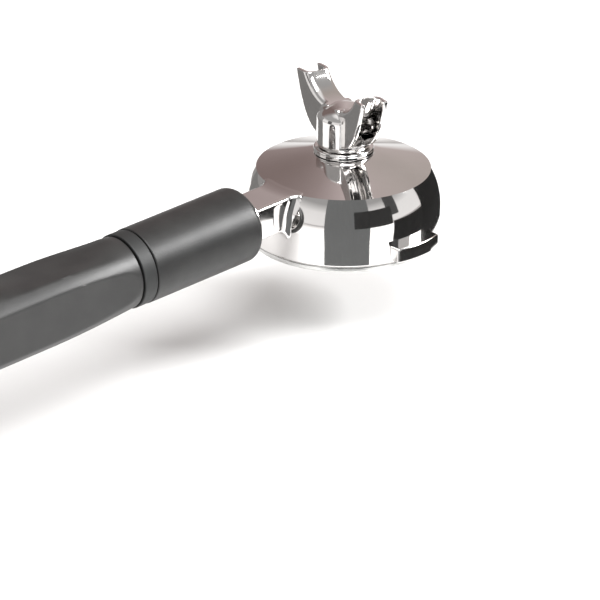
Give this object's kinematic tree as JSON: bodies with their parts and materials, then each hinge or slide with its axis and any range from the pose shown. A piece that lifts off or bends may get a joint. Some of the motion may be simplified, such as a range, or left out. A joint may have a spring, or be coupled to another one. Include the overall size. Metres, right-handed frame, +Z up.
{
  "type": "portafilter",
  "caption": "Espresso machine portafilter standing upside down: chromed cup with locking lugs, filter basket, screw-on double spout and black two-part handle.",
  "frame": {"origin": "centre of the bounding box's lowest face, in the plane that the basket's lip stands on", "axes": "+Z up, from the basket's lip to the spouts; the handle runs towards -X; the locking lugs point along +Y and -Y"},
  "size_m": [0.2084, 0.0768, 0.0562],
  "materials": {
    "chrome": "polished, slightly warm",
    "stainless_steel": "satin",
    "brass": "machined",
    "black_plastic": "satin with a fine grain",
    "soft_black_plastic": "matt",
    "seal_rubber": "matt"
  },
  "bodies": {
    "cup": {"cup_body": "chrome", "basket_spring": "stainless_steel", "spout_seal": "seal_rubber", "handle_stud": "stainless_steel"},
    "basket": {"filter_basket": "stainless_steel"},
    "spout_ring": {"spout_base_ring": "chrome"},
    "spout": {"double_spout": "chrome"},
    "collar": {"neck_collar": "chrome"},
    "handle": {"handle_core": "brass", "handle_sleeve": "black_plastic", "handle_band": "soft_black_plastic", "handle_grip": "black_plastic", "end_washer": "stainless_steel", "split_washer": "stainless_steel", "end_screw": "stainless_steel", "end_cap": "black_plastic", "cap_ring": "seal_rubber"}
  },
  "joints": [
    {"name": "basket_pull", "type": "slide", "parent": "cup", "child": "basket", "axis": [0, 0, -1], "range_m": [0, 0.024]},
    {"name": "spout_lift", "type": "slide", "parent": "cup", "child": "spout_ring", "axis": [0, 0, 1], "range_m": [0, 0.006]},
    {"name": "spout_turn", "type": "hinge", "parent": "spout_ring", "child": "spout", "pos_m": [0.06971, 0, 0.034], "axis": [0, 0, 1], "range_deg": [0, 1620]},
    {"name": "handle_out", "type": "slide", "parent": "cup", "child": "collar", "axis": [-0.9994, 0, -0.0349], "range_m": [0, 0.016]},
    {"name": "handle_turn", "type": "hinge", "parent": "collar", "child": "handle", "pos_m": [0.06971, 0, 0.0202], "axis": [-0.9994, 0, -0.0349], "range_deg": [0, 4610]}
  ],
  "couplings": [
    {"joint": "spout_turn", "follows": "spout_lift", "rad_per_m": 4699.5},
    {"joint": "handle_turn", "follows": "handle_out", "rad_per_m": 5026.5}
  ]
}
